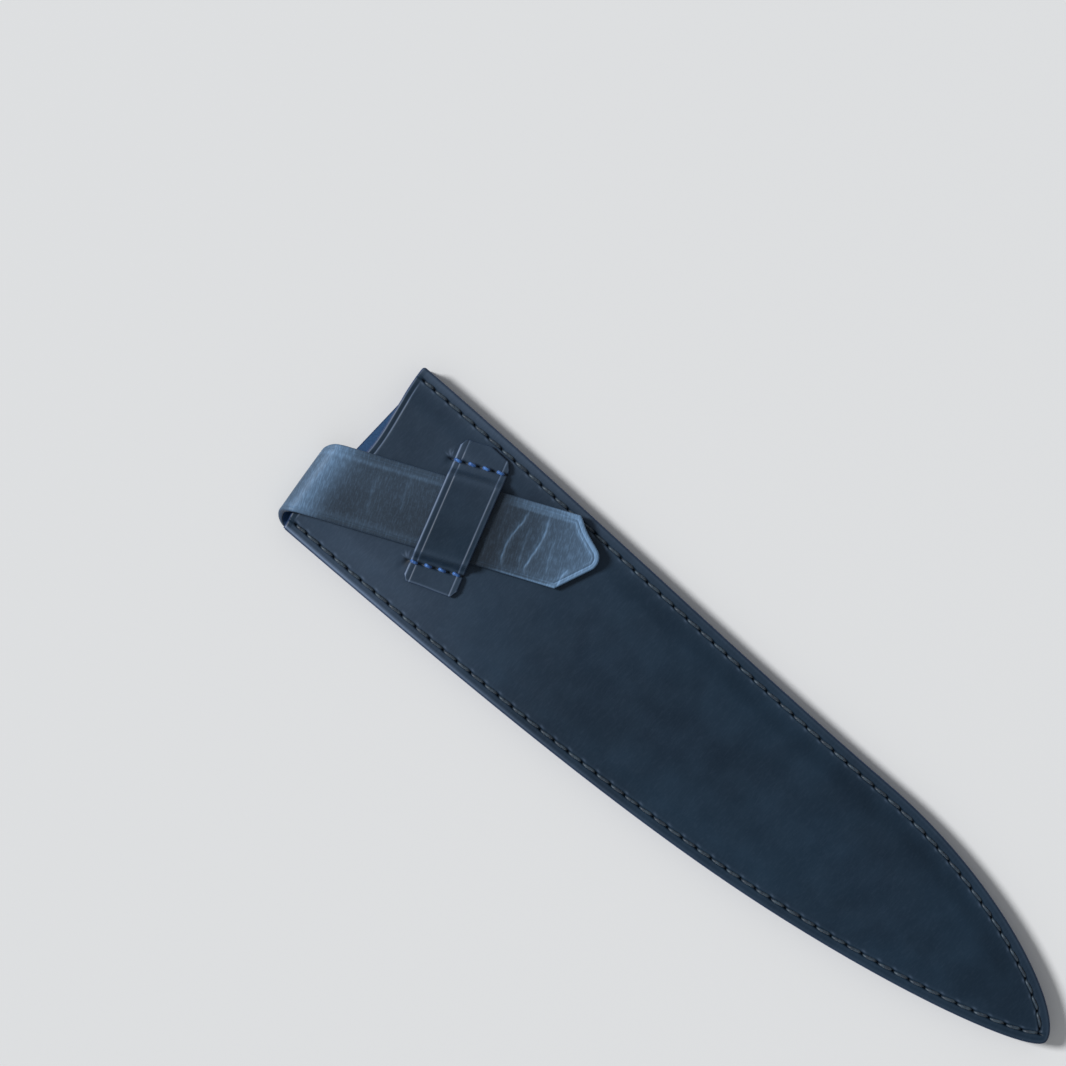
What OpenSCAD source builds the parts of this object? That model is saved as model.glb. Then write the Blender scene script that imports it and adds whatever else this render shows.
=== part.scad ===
// Stitched leather guard for a chef's knife blade.
// Two panels are sewn together round a welt, and the blade slides in at the mouth.
// A strap cut in one with the back panel folds round the mouth's lower corner,
// crosses the front panel at an angle and passes under a sewn keeper.
// Layout: x runs from the mouth to the tip, y from the cutting edge to the spine,
// z from the back face up. The spine corner of the mouth is the layout's zero.

/* [Sheath] */
// Length from the mouth to the tip
sheath_length = 281; // [255:1:310]
// Width across the mouth
mouth_width = 65.8; // [62:0.2:74]
// Distance of the tip below the spine corner
tip_drop = 24; // [20:0.5:30]
// Length of the spine's curved run into the tip
spine_tip_run = 89; // [75:1:110]
// Length of the cutting edge's curved run into the tip
edge_tip_run = 90; // [75:1:110]
// Rise of the cutting edge where that run starts
edge_rise = 14.2; // [8:0.2:20]
// Roundness of the tip on the spine side
tip_round_spine = 9.7; // [6:0.1:14]
// Roundness of the tip on the edge side
tip_round_edge = 5.3; // [4:0.1:10]
// Leather thickness of the two panels
panel_t = 2; // [1.6:0.1:2.4]
// Rise of the front panel over the blade pocket
crown_rise = 1.5; // [1:0.1:2.5]
// Distance from the edge at which the crown is full
crown_run = 12; // [10:0.5:16]
// Depth of the notch in the front panel's mouth
notch_depth = 4.9; // [0:0.1:8]
// Step back of the back panel's straight mouth
back_step = 1.5; // [0.5:0.1:3]
// Rounding of the front panel's long edges
edge_round = 0.9; // [0.4:0.1:1.2]

/* [Welt] */
// Thickness of the welt between the panels
welt_t = 2.8; // [2:0.1:4]
// Width of the welt in from the edge
welt_w = 7; // [5.5:0.1:8]

/* [Seam] */
// Distance of the stitch line in from the edge
stitch_inset = 3.4; // [3:0.1:4]
// Stitches are this far apart
stitch_pitch = 5.5; // [4:0.1:7]
// Gap between one stitch and the next
stitch_gap = 1.3; // [0.8:0.1:2]
// Thickness of the seam thread
thread_d = 0.8; // [0.6:0.05:1]
// Width of the groove that the thread lies in
groove_w = 1.8; // [1.5:0.1:2.2]
// Depth of the groove in the front panel
groove_depth = 0.5; // [0.3:0.05:0.7]
// Slant of each stitch across the stitch line
stitch_slant = 5; // [0:1:8]

/* [Strap] */
// Width of the strap
strap_w = 23.8; // [18:0.2:25]
// Leather thickness of the strap
strap_t = 2; // [1.5:0.1:2.2]
// Angle of the strap across the front panel
strap_angle = 26; // [20:1:30]
// Lean of the fold line away from square across the sheath
fold_lean = 6.75; // [4:0.25:9]
// Place of the fold line at the mouth's lower corner
fold_x = 0.35; // [-1:0.05:0.4]
// Height of the strap's centre above that corner, along the fold
strap_centre = 18.1; // [17.5:0.1:22]
// Narrowing of the strap at its root
root_narrowing = 1.8; // [0:0.1:2.5]
// Length from the fold to the strap's nose
strap_reach = 90.8; // [86:0.2:92]
// Length of the pointed end of the strap
point_length = 10.7; // [8:0.1:14]
// Rounding of the strap's nose
nose_r = 4.5; // [3:0.1:6]
// Air between the strap and the leather under and over it
strap_clearance = 0.3; // [0.25:0.05:0.6]
// Width of each crease line where the strap bends
crease_gap = 0.3; // [0.2:0.05:0.4]
// Distance of the first bowing crease from the fold
bow_start = 8.5; // [6:0.1:9]
// Length of each bowing stretch of the strap
bow_link = 13; // [11:0.5:14]

/* [Keeper] */
// Width of the keeper
keeper_w = 17; // [13:0.5:18]
// Leather thickness of the keeper
keeper_t = 1.5; // [1.2:0.1:2]
// Distance of the keeper's middle from the fold, along the strap
keeper_at = 46; // [45:0.2:48]
// Lean of the keeper away from square across the strap
keeper_lean = 7; // [0:1:10]
// Reach of the keeper past the strap's middle, towards the spine
keeper_reach_spine = 24.4; // [21.5:0.2:25]
// Reach of the keeper past the strap's middle, towards the cutting edge
keeper_reach_edge = 22.6; // [20:0.2:24]
// Chamfer on the keeper's corners
keeper_corner = 2; // [1:0.1:3]
// Distance of the upper stitch row from the strap's middle
upper_row = 17.3; // [16.5:0.1:18]
// Distance of the lower stitch row from the strap's middle
lower_row = 16.2; // [15.8:0.1:18]
// Spacing of the keeper's stitches
keeper_pitch = 4.5; // [3.4:0.1:4.6]
// Shift of the keeper's stitch rows towards the mouth
keeper_row_shift = 0.5; // [0:0.1:0.6]
// Length of each stitch on the keeper
keeper_stitch = 2.8; // [2:0.1:3]
// Thickness of the keeper's thread
keeper_thread_d = 1; // [0.8:0.05:1.2]

/* [Hidden] */

front_color = [0.16, 0.21, 0.27];
back_color = [0.15, 0.2, 0.26];
welt_color = [0.13, 0.17, 0.22];
strap_color = [0.28, 0.37, 0.46];
keeper_color = [0.2, 0.26, 0.33];
seam_thread_color = [0.1, 0.13, 0.19];
keeper_thread_color = [0.23, 0.42, 0.69];

// Heights of the stack: back panel, welt, front panel, crown, strap, keeper
front_bottom = panel_t + welt_t;
front_top = front_bottom + panel_t;
crown_top = front_top + crown_rise;
strap_bottom = crown_top + strap_clearance;
strap_top = strap_bottom + strap_t;
keeper_bottom = strap_top + strap_clearance;

// Outline: each long side is two cubic curves that meet at a common slope,
// and both sides end in the tip with an upright tangent
tip_point = [sheath_length, -tip_drop];
spine_slope = 0.032;
spine_rise = 1.75;
spine_bow = [58, 1.9];
spine_pull = 59;
spine_tip_pull = 0.54;
spine_join = [sheath_length - spine_tip_run, spine_rise];
spine_mouth_curve = [[0, 0], spine_bow, spine_join - spine_pull * [1, spine_slope], spine_join];
spine_tip_curve = [
    spine_join, spine_join + spine_tip_pull * spine_tip_run * [1, spine_slope],
    tip_point + [0, tip_round_spine], tip_point
];
edge_slope = 0.174;
edge_bow = [81, 2.2];
edge_pull = 48;
edge_tip_pull = 0.58;
edge_corner = [0, -mouth_width];
edge_join = edge_corner + [sheath_length - edge_tip_run, edge_rise];
edge_mouth_curve = [
    edge_corner, edge_corner + edge_bow, edge_join - edge_pull * [1, edge_slope], edge_join
];
edge_tip_curve = [
    edge_join, edge_join + edge_tip_pull * edge_tip_run * [1, edge_slope],
    tip_point - [0, tip_round_edge], tip_point
];
mouth_samples = 14;
tip_samples = 30;

function bezier(c, u) =
    pow(1 - u, 3) * c[0] + 3 * pow(1 - u, 2) * u * c[1] + 3 * (1 - u) * u * u * c[2] + pow(u, 3) * c[3];
function bezier_slope(c, u) =
    pow(1 - u, 2) * (c[1] - c[0]) + 2 * (1 - u) * u * (c[2] - c[1]) + u * u * (c[3] - c[2]);
function direction(v) = atan2(v[1], v[0]);
function side_points(mouth_curve, tip_curve) = concat(
    [for (i = [0:mouth_samples - 1]) bezier(mouth_curve, i / mouth_samples)],
    [for (i = [0:tip_samples]) bezier(tip_curve, i / tip_samples)]
);
function side_angles(mouth_curve, tip_curve) = concat(
    [for (i = [0:mouth_samples - 1]) direction(bezier_slope(mouth_curve, i / mouth_samples))],
    [for (i = [0:tip_samples]) direction(bezier_slope(tip_curve, i / tip_samples))]
);
function angle_table(points, angles) = [for (i = [0:len(points) - 1]) [points[i][0], angles[i]]];

spine_points = side_points(spine_mouth_curve, spine_tip_curve);
edge_points = side_points(edge_mouth_curve, edge_tip_curve);
spine_angles = angle_table(spine_points, side_angles(spine_mouth_curve, spine_tip_curve));
edge_angles = angle_table(edge_points, side_angles(edge_mouth_curve, edge_tip_curve));
function spine_y(x) = lookup(x, spine_points);
function edge_y(x) = lookup(x, edge_points);
function spine_angle(x) = lookup(x, spine_angles);
function edge_angle(x) = lookup(x, edge_angles);

// Points a distance d in from each long side, square to the outline
function from_spine(x, d) = [x, spine_y(x)] + d * [sin(spine_angle(x)), -cos(spine_angle(x))];
function from_edge(x, d) = [x, edge_y(x)] + d * [-sin(edge_angle(x)), cos(edge_angle(x))];

function clamp(v) = min(1, max(0, v));
function smooth(v) = let (c = clamp(v)) c * c * (3 - 2 * c);
function reversed(list) = [for (i = [len(list) - 1:-1:0]) list[i]];

// Front panel: height of its top and underside a distance d in from the edge,
// where the sheath is w wide
groove_end = stitch_inset + groove_w / 2;
flat_beside_groove = 0.9;
crown_start = groove_end + flat_beside_groove;
crown_fade_from = 14;
crown_fade_run = 26;
function crown_at(w) = crown_rise * smooth((w - crown_fade_from) / crown_fade_run);
function panel_top(d, w) =
    front_top + crown_at(w) * smooth((d - crown_start) / (crown_run - crown_start));
function panel_underside(d, w) =
    front_bottom + crown_at(w) * smooth((d - welt_w) / (crown_run - welt_w));

// The rows of the panel's section run from one side in to the crown's full height
panel_rows = [
    [0, -edge_round], [edge_round * (1 - cos(45)), -edge_round * (1 - cos(45))], [edge_round, 0],
    [stitch_inset - groove_w / 2, 0], [stitch_inset - groove_w / 4, -groove_depth],
    [stitch_inset + groove_w / 4, -groove_depth], [groove_end, 0],
    [crown_start, 0], for (k = [1:4]) [crown_start + k * (crown_run - crown_start) / 4, 0]
];
// Near the tip the rows draw together, the crown's first and then the groove's
row_margin = 0.45;
groove_room = groove_end + 0.3;
tightest_room = groove_room + 0.1;
function squeezed(d, w) =
    let (room = row_margin * w)
    room >= crown_run ? d
        : room >= tightest_room ? squeeze_crown(d, room)
        : squeeze_crown(d, tightest_room) * room / tightest_room;
function squeeze_crown(d, room) =
    d <= groove_room ? d
        : groove_room + (d - groove_room) * (room - groove_room) / (crown_run - groove_room);
function groove_fade(w) = clamp(row_margin * w / tightest_room);

// Stations run evenly from the mouth and crowd together round the tip
tip_zone = 40;
even_stations = 28;
tip_stations = 12;
stations = concat(
    [for (i = [0:even_stations]) i * (sheath_length - tip_zone) / even_stations],
    [for (i = [1:tip_stations - 1]) sheath_length - tip_zone * (1 - sin(90 * i / tip_stations))]
);
notch_fade = 35;
function notched(p) =
    let (across = clamp(-p[1] / mouth_width))
    [p[0] + notch_depth * (1 - cos(360 * across)) / 2 * max(0, 1 - p[0] / notch_fade), p[1]];
function lifted(p, z) = [p[0], p[1], z];
function width_at(x) = spine_y(x) - edge_y(x);
function top_point(x, row, spine_side) =
    let (
        w = width_at(x),
        d = squeezed(row[0], w),
        p = spine_side ? from_spine(x, d) : from_edge(x, d)
    )
    lifted(notched(p), panel_top(d, w) + row[1] * (row[0] < stitch_inset - groove_w ? 1 : groove_fade(w)));
function under_point(x, row, spine_side) =
    let (
        w = width_at(x),
        d = squeezed(row[0], w),
        p = spine_side ? from_spine(x, d) : from_edge(x, d)
    )
    lifted(notched(p), panel_underside(d, w));
function top_station(x) = concat(
    [for (row = panel_rows) top_point(x, row, true)],
    [for (row = reversed(panel_rows)) top_point(x, row, false)]
);
function under_station(x) = concat(
    [for (row = panel_rows) under_point(x, row, true)],
    [for (row = reversed(panel_rows)) under_point(x, row, false)]
);

// A thick sheet from a grid of upper points and the same grid of lower points
function sheet_face(a, b, c, d) = [[a, b, c], [a, c, d]];
function sheet_faces(n, m) =
    let (under = n * m)
    concat(
        [for (i = [0:n - 2], j = [0:m - 2])
            each sheet_face(i * m + j, (i + 1) * m + j, (i + 1) * m + j + 1, i * m + j + 1)],
        [for (i = [0:n - 2], j = [0:m - 2])
            each sheet_face(under + i * m + j + 1, under + (i + 1) * m + j + 1, under + (i + 1) * m + j, under + i * m + j)],
        [for (i = [0:n - 2])
            each sheet_face(i * m, under + i * m, under + (i + 1) * m, (i + 1) * m)],
        [for (i = [0:n - 2])
            each sheet_face((i + 1) * m + m - 1, under + (i + 1) * m + m - 1, under + i * m + m - 1, i * m + m - 1)],
        [for (j = [0:m - 2])
            each sheet_face(j + 1, under + j + 1, under + j, j)],
        [for (j = [0:m - 2])
            each sheet_face((n - 1) * m + j, under + (n - 1) * m + j, under + (n - 1) * m + j + 1, (n - 1) * m + j + 1)]
    );
module thick_sheet(upper, lower) {
    n = len(upper);
    m = len(upper[0]);
    polyhedron(
        points = concat([for (row = upper) each row], [for (row = lower) each row]),
        faces = sheet_faces(n, m)
    );
}

// Flat cut pieces, with no outline point nearer than this to their straight end
outline_step = 0.5;
function outline_from(x0) = concat(
    [[x0, spine_y(x0)]],
    [for (p = spine_points) if (p[0] > x0 + outline_step) p],
    [for (p = reversed(edge_points)) if (p[0] > x0 + outline_step && p[0] < sheath_length) p],
    [[x0, edge_y(x0)]]
);
module slab(points, bottom, top) {
    translate([0, 0, bottom]) linear_extrude(top - bottom) polygon(points);
}

// Fold: the strap's outer surface turns half a circle in three flat steps.
// The first crease line lies on the back face and the last on the strap's top.
fold_steps = 3;
fold_turn = 180 / (fold_steps + 1);
fold_link = strap_top / (1 + 2 * sin(fold_turn));
fold_out = fold_link * cos(fold_turn);
fold_creases = [
    [0, 0], [-fold_out, fold_out], [-fold_out, fold_out + fold_link], [0, strap_top]
];
strap_across = strap_angle - fold_lean;
half_w = strap_w / 2;
tab_length = 4;
fold_mitre = strap_t * tan(fold_turn / 2);
fold_samples = 6;

module fold_frame() {
    translate([fold_x, -mouth_width, 0]) rotate([0, 0, fold_lean]) children();
}
module strap_frame() {
    fold_frame() translate([0, strap_centre, strap_top]) rotate([0, 0, strap_across]) children();
}
// A strap frame point in the layout
strap_origin = [fold_x, -mouth_width] + strap_centre * [-sin(fold_lean), cos(fold_lean)];
function strap_to_layout(p) =
    strap_origin + p[0] * [cos(strap_angle), sin(strap_angle)] + p[1] * [-sin(strap_angle), cos(strap_angle)];

// Edges of the unrolled strap: q is the distance along its outer surface from the last
// crease, measured square to the crease lines
root_blend = 8;
function strap_upper_edge(q) =
    strap_centre + half_w / cos(strap_across) + q * tan(strap_across) - root_narrowing * smooth(-q / root_blend);
function strap_lower_edge(q) =
    strap_centre - half_w / cos(strap_across) + q * tan(strap_across);

// One flat step of the fold, with both ends mitred on the inside
step_places = [for (i = [0:fold_samples]) i * fold_link / fold_samples];
module fold_step(step) {
    start = fold_creases[step];
    q = (step - fold_steps) * fold_link;
    fold_frame() translate([start[0], 0, start[1]]) rotate([0, -180 + fold_turn * (step + 1), 0])
        intersection() {
            translate([0, 2 * mouth_width, 0]) rotate([90, 0, 0]) linear_extrude(4 * mouth_width)
                polygon([
                    [crease_gap / 2, 0], [crease_gap / 2 + fold_mitre, -strap_t],
                    [fold_link - crease_gap / 2 - fold_mitre, -strap_t], [fold_link - crease_gap / 2, 0]
                ]);
            slab(concat(
                [for (x = step_places) [x, strap_lower_edge(q + x)]],
                [for (x = reversed(step_places)) [x, strap_upper_edge(q + x)]]
            ), -strap_t - 1, 1);
        }
}

// The strap's outline past the last crease, from x0 to x1 along the strap
nose_centre = strap_reach - nose_r;
// The two slanting sides run from the shoulders to touch the rounded nose
shoulder = [strap_reach - point_length, half_w];
shoulder_way = shoulder - [nose_centre, 0];
nose_touch = direction(shoulder_way) - acos(nose_r / norm(shoulder_way));
nose_steps = 8;
nose_arc = [
    for (i = [0:nose_steps])
        let (a = nose_touch * (1 - 2 * i / nose_steps))
        [nose_centre + nose_r * cos(a), nose_r * sin(a)]
];
module strap_piece(x0, x1) {
    slab(concat(
        [[x0, -half_w], [x0, half_w]],
        x1 < shoulder[0] ? [[x1, half_w], [x1, -half_w]]
            : concat([shoulder], nose_arc, [[shoulder[0], -half_w]])
    ), -strap_t, 0);
}

// Keeper: rows run parallel to the strap, and its section arches over the strap
keeper_half = keeper_w / 2 / cos(keeper_lean);
keeper_ramp_from = half_w + 2 * strap_clearance;
keeper_ramp = 2.6;
keeper_seat = 0.05;
function keeper_x(y, across) = keeper_at + y * tan(keeper_lean) + across;
function surface_under(p) =
    let (q = strap_to_layout(p))
    panel_top(
        min((spine_y(q[0]) - q[1]) * cos(spine_angle(q[0])), (q[1] - edge_y(q[0])) * cos(edge_angle(q[0]))),
        width_at(q[0])
    );
function keeper_underside(p) =
    let (
        rest = surface_under(p) + keeper_seat,
        down = smooth((abs(p[1]) - keeper_ramp_from) / keeper_ramp)
    )
    keeper_bottom + (rest - keeper_bottom) * down;
// The end towards the spine is trimmed back from the seam's stitches
seam_line = -(stitch_inset + thread_d);
function keeper_spine_end(across) =
    min(
        keeper_reach_spine,
        (seam_line - strap_origin[1] - sin(strap_angle) * (keeper_at + across))
            / (cos(strap_angle) + sin(strap_angle) * tan(keeper_lean))
    );
keeper_edge = 0.5;
function keeper_rows(across) =
    let (
        corner = abs(across) > keeper_half - keeper_edge / 2 ? keeper_corner : 0,
        spine_end = keeper_spine_end(across) - corner,
        edge_end = keeper_reach_edge - corner,
        foot = keeper_ramp_from + keeper_ramp
    )
    concat(
        [for (k = [0:2]) spine_end + (foot - spine_end) * k / 3],
        [for (k = [0:4]) foot - k * keeper_ramp / 4],
        [half_w / 2, 0, -half_w / 2],
        [for (k = [0:4]) -keeper_ramp_from - k * keeper_ramp / 4],
        [for (k = [1:2]) -foot - (edge_end - foot) * k / 2]
    );
keeper_columns = [
    [keeper_half, -keeper_edge], [keeper_half - keeper_edge, 0], [keeper_half / 3, 0],
    [-keeper_half / 3, 0], [-keeper_half + keeper_edge, 0], [-keeper_half, -keeper_edge]
];
function keeper_point(column, k, over) =
    let (
        y = keeper_rows(column[0])[k],
        p = [keeper_x(y, column[0]), y],
        q = strap_to_layout(p)
    )
    lifted(q, keeper_underside(p) + (over ? keeper_t + column[1] : 0));

// A stitch is a short flat thread with tapered ends. A row of them is one extruded polygon
// with a closed path for each stitch.
function stitch_outline(centre, angle, length, d) =
    let (
        along = [cos(angle), sin(angle)],
        across = [-sin(angle), cos(angle)],
        corners = [
            [-length / 2, -0.2 * d], [0.5 * d - length / 2, -0.5 * d],
            [length / 2 - 0.5 * d, -0.5 * d], [length / 2, -0.2 * d],
            [length / 2, 0.2 * d], [length / 2 - 0.5 * d, 0.5 * d],
            [0.5 * d - length / 2, 0.5 * d], [-length / 2, 0.2 * d]
        ]
    )
    [for (c = corners) centre + c[0] * along + c[1] * across];
module stitches(outlines, bottom, top) {
    points = [for (outline = outlines) each outline];
    paths = [for (i = [0:len(outlines) - 1]) [for (k = [0:7]) 8 * i + k]];
    translate([0, 0, bottom]) linear_extrude(top - bottom) polygon(points, paths);
}

// Stitch places along each long side, one pitch apart measured along the seam
seam_start = 4.5;
edge_seam_shift = 1;
seam_tip_margin = 7;
thread_clearance = 0.03;
spine_seam_x = [
    for (x = seam_start; x < sheath_length - seam_tip_margin; x = x + stitch_pitch * cos(spine_angle(x))) x
];
edge_seam_x = [
    for (x = seam_start + edge_seam_shift; x < sheath_length - seam_tip_margin; x = x + stitch_pitch * cos(edge_angle(x))) x
];
module seam_row(bottom, slant) {
    length = stitch_pitch - stitch_gap;
    stitches(concat(
        [for (x = spine_seam_x)
            stitch_outline(from_spine(x, stitch_inset), spine_angle(x) + slant, length, thread_d)],
        [for (x = edge_seam_x)
            stitch_outline(from_edge(x, stitch_inset), edge_angle(x) + slant, length, thread_d)]
    ), bottom, bottom + thread_d);
}
keeper_stitch_count = 4;
thread_flattening = 0.7;
function keeper_across(i) = (i - (keeper_stitch_count - 1) / 2) * keeper_pitch - keeper_row_shift;
// A keeper stitch clears the leather under both of its ends
function keeper_stitch_bottom(y, i) =
    keeper_t + thread_clearance
        + max([for (s = [-1, 1]) keeper_underside([keeper_x(y, keeper_across(i) + s * keeper_stitch / 2), y])]);
module keeper_row(y) {
    bottom = max([for (i = [0:keeper_stitch_count - 1]) keeper_stitch_bottom(y, i)]);
    stitches([for (i = [0:keeper_stitch_count - 1])
        stitch_outline(
            strap_to_layout([keeper_x(y, keeper_across(i)), y]), strap_angle, keeper_stitch, keeper_thread_d
        )
    ], bottom, bottom + thread_flattening * keeper_thread_d);
}

// Centre of the whole object's box, which becomes its origin
fold_left = fold_x - fold_out * cos(fold_lean) - strap_upper_edge(-fold_link) * sin(fold_lean);
highest_y = max([for (p = spine_points) p[1]]);
lowest_y = min([for (p = edge_points) p[1]]);
box_centre = [(fold_left + sheath_length) / 2, (highest_y + lowest_y) / 2];
module placed() {
    translate([-box_centre[0], -box_centre[1], 0]) children();
}

// Front panel: the crowned face of the sheath, with a notched mouth and a stitch groove
module front_panel() {
    color(front_color) placed()
        thick_sheet([for (x = stations) top_station(x)], [for (x = stations) under_station(x)]);
}

// Back panel: flat, straight across the mouth, with a stitch groove on its back face,
// and with the root of the strap running out past the mouth
back_groove_depth = thread_d + 2 * thread_clearance;
back_groove_w = thread_d + 0.5;
back_groove_end = sheath_length - seam_tip_margin + 1.5;
side_samples = 40;
module seam_channel(points_out, points_in) {
    slab(concat(points_out, reversed(points_in)), -1, back_groove_depth);
}
module back_panel() {
    channel_half = back_groove_w / 2;
    channel_start = back_step - 2;
    runs = [
        for (i = [0:side_samples])
            channel_start + i * (back_groove_end - channel_start) / side_samples
    ];
    q = -fold_steps * fold_link;
    color(back_color) placed() difference() {
        union() {
            slab(outline_from(back_step), 0, panel_t);
            fold_frame() intersection() {
                translate([0, 2 * mouth_width, 0]) rotate([90, 0, 0]) linear_extrude(4 * mouth_width)
                    polygon([
                        [crease_gap / 2, 0], [crease_gap / 2 + fold_mitre, panel_t],
                        [tab_length, panel_t], [tab_length, 0]
                    ]);
                slab([
                    [0, strap_lower_edge(q)], [tab_length, strap_lower_edge(q - tab_length) + 1],
                    [tab_length, strap_upper_edge(q - tab_length)], [0, strap_upper_edge(q)]
                ], -1, panel_t + 1);
            }
        }
        seam_channel(
            [for (x = runs) from_spine(x, stitch_inset - channel_half)],
            [for (x = runs) from_spine(x, stitch_inset + channel_half)]
        );
        seam_channel(
            [for (x = runs) from_edge(x, stitch_inset - channel_half)],
            [for (x = runs) from_edge(x, stitch_inset + channel_half)]
        );
    }
}

// Welts: strips between the panels along each side, butted together at the tip
module welt_ring() {
    far = 2 * mouth_width;
    before = -2;
    beyond = sheath_length - 1.5;
    inner_x = [for (i = [0:side_samples]) before + i * (beyond - before) / side_samples];
    difference() {
        slab(outline_from(back_step), panel_t, front_bottom);
        intersection() {
            slab(concat([for (x = inner_x) from_spine(x, welt_w)], [[sheath_length, -far], [before, -far]]),
                panel_t - 1, front_bottom + 1);
            slab(concat([for (x = inner_x) from_edge(x, welt_w)], [[sheath_length, far], [before, far]]),
                panel_t - 1, front_bottom + 1);
        }
    }
}
module welt_side(low, high) {
    intersection() {
        welt_ring();
        slab([[0, low], [sheath_length + 1, low], [sheath_length + 1, high], [0, high]],
            panel_t - 1, front_bottom + 1);
    }
}
module spine_welt() {
    color(welt_color) placed() welt_side(-tip_drop, mouth_width);
}
module edge_welt() {
    color(welt_color) placed() welt_side(-2 * mouth_width, -tip_drop);
}

// Seam thread: the stitches that show on each face
module seam_stitches_front() {
    color(seam_thread_color) placed()
        seam_row(front_top - groove_depth + thread_clearance, stitch_slant);
}
module seam_stitches_back() {
    color(seam_thread_color) placed() seam_row(thread_clearance, 0);
}

// Keeper: a band sewn down at both ends, arched over the strap
module keeper() {
    rows = [0:len(keeper_rows(0)) - 1];
    color(keeper_color) placed() thick_sheet(
        [for (k = rows) [for (column = keeper_columns) keeper_point(column, k, true)]],
        [for (k = rows) [for (column = keeper_columns) keeper_point(column, k, false)]]
    );
}
module keeper_stitches_upper() {
    color(keeper_thread_color) placed() keeper_row(upper_row);
}
module keeper_stitches_lower() {
    color(keeper_thread_color) placed() keeper_row(-lower_row);
}

// Strap: three steps round the fold, then flat pieces with crease lines between them
module strap_fold_lower() {
    color(strap_color) placed() fold_step(0);
}
module strap_fold_middle() {
    color(strap_color) placed() fold_step(1);
}
module strap_fold_upper() {
    color(strap_color) placed() fold_step(2);
}
module strap_root_run() {
    color(strap_color) placed() intersection() {
        fold_frame() translate([0, 2 * mouth_width, strap_top]) rotate([90, 0, 0])
            linear_extrude(4 * mouth_width) polygon([
                [crease_gap / 2, 0], [crease_gap / 2 + fold_mitre, -strap_t],
                [3 * bow_start, -strap_t], [3 * bow_start, 0]
            ]);
        strap_frame() strap_piece(-half_w, bow_start - crease_gap / 2);
    }
}
module strap_run(first, last) {
    color(strap_color) placed() strap_frame() strap_piece(first + crease_gap / 2, last - crease_gap / 2);
}
bow_peak = bow_start + bow_link;
bow_end = bow_start + 2 * bow_link;
lift_margin = 1;
lift_crease = keeper_at + keeper_half + half_w * tan(keeper_lean) + lift_margin;
module strap_run_near() {
    strap_run(bow_start, bow_peak);
}
module strap_run_far() {
    strap_run(bow_peak, bow_end);
}
module strap_tongue() {
    strap_run(bow_end, lift_crease);
}
module strap_tip() {
    strap_run(lift_crease, strap_reach + 1);
}

front_panel();
back_panel();
spine_welt();
edge_welt();
seam_stitches_front();
seam_stitches_back();
keeper();
keeper_stitches_upper();
keeper_stitches_lower();
strap_fold_lower();
strap_fold_middle();
strap_fold_upper();
strap_root_run();
strap_run_near();
strap_run_far();
strap_tongue();
strap_tip();
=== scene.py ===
import math

import bmesh
import bpy
import numpy as np
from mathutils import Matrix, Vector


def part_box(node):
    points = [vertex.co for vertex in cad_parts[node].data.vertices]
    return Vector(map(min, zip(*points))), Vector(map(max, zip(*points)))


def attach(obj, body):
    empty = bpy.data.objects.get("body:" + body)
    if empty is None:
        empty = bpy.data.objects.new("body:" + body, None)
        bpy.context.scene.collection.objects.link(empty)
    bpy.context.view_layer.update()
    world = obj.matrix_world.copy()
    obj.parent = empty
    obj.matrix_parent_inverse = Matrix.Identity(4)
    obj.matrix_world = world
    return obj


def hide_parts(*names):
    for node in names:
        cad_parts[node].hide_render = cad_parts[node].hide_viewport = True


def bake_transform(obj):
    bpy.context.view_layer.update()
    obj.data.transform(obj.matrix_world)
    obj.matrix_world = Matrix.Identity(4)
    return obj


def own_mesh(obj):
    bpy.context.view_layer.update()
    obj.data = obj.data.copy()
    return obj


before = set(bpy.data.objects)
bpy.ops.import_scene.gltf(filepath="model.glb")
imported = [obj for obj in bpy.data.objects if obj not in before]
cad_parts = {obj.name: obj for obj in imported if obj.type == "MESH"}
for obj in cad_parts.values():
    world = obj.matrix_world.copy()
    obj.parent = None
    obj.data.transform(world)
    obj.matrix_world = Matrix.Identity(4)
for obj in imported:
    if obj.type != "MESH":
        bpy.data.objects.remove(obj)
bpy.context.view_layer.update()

# Front panel
# The face of the sheath, cut from 2 mm waxed pull-up leather and wet-moulded to stand about
# 1.5 mm proud inside the seam. Its mouth has a shallow curved notch with a pressed line
# beside it, and the seam lies in a gouged groove.
MM = 0.001
panel_low, panel_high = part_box("front_panel")
sheath_length = (panel_high.x - panel_low.x) / MM
mouth_width = 65.8
layout_zero = np.array([panel_low.x / MM, panel_low.y / MM + mouth_width, 0.0])
panel_t = 2.0
front_bottom = panel_low.z / MM
front_top = front_bottom + panel_t
crown_rise = panel_high.z / MM - front_top
crown_start = 5.2
crown_run = 12.0
welt_w = 7.0
notch_depth = 4.9
notch_fade = 35.0
corner_step = 1.5
corner_r = 1.1
mouth_line_inset = 2.1
burnish_r = 0.85
stitch_inset = 3.4
stitch_pitch = 5.5
seam_tip_gap = 3.0
slit_lean = math.radians(10)
hole_depth = 0.8
short_of_end = 0.004
tip_drop = 24.0
tip_round_spine = 9.7
tip_round_edge = 5.3
spine_tip_run = 89.0
spine_bulge = 1.75
edge_tip_run = 90.0
edge_rise = 14.2


def side_line(*curves):
    """A long side as rows of x, y and heading. Each of its two curves is cubic: four corners
    weighted by the Bernstein terms of u. The heading is taken between neighbours."""
    u = np.linspace(0, 1, 700)[:, None]
    parts = []
    for curve in curves:
        a, b, c, d = np.array(curve, float)
        parts.append((1 - u) ** 3 * a + 3 * (1 - u) ** 2 * u * b + 3 * (1 - u) * u * u * c + u**3 * d)
    points = np.vstack([parts[0][:-1], parts[1]])
    step = np.gradient(points, axis=0)
    return np.column_stack([points, np.arctan2(step[:, 1], step[:, 0])])


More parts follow.
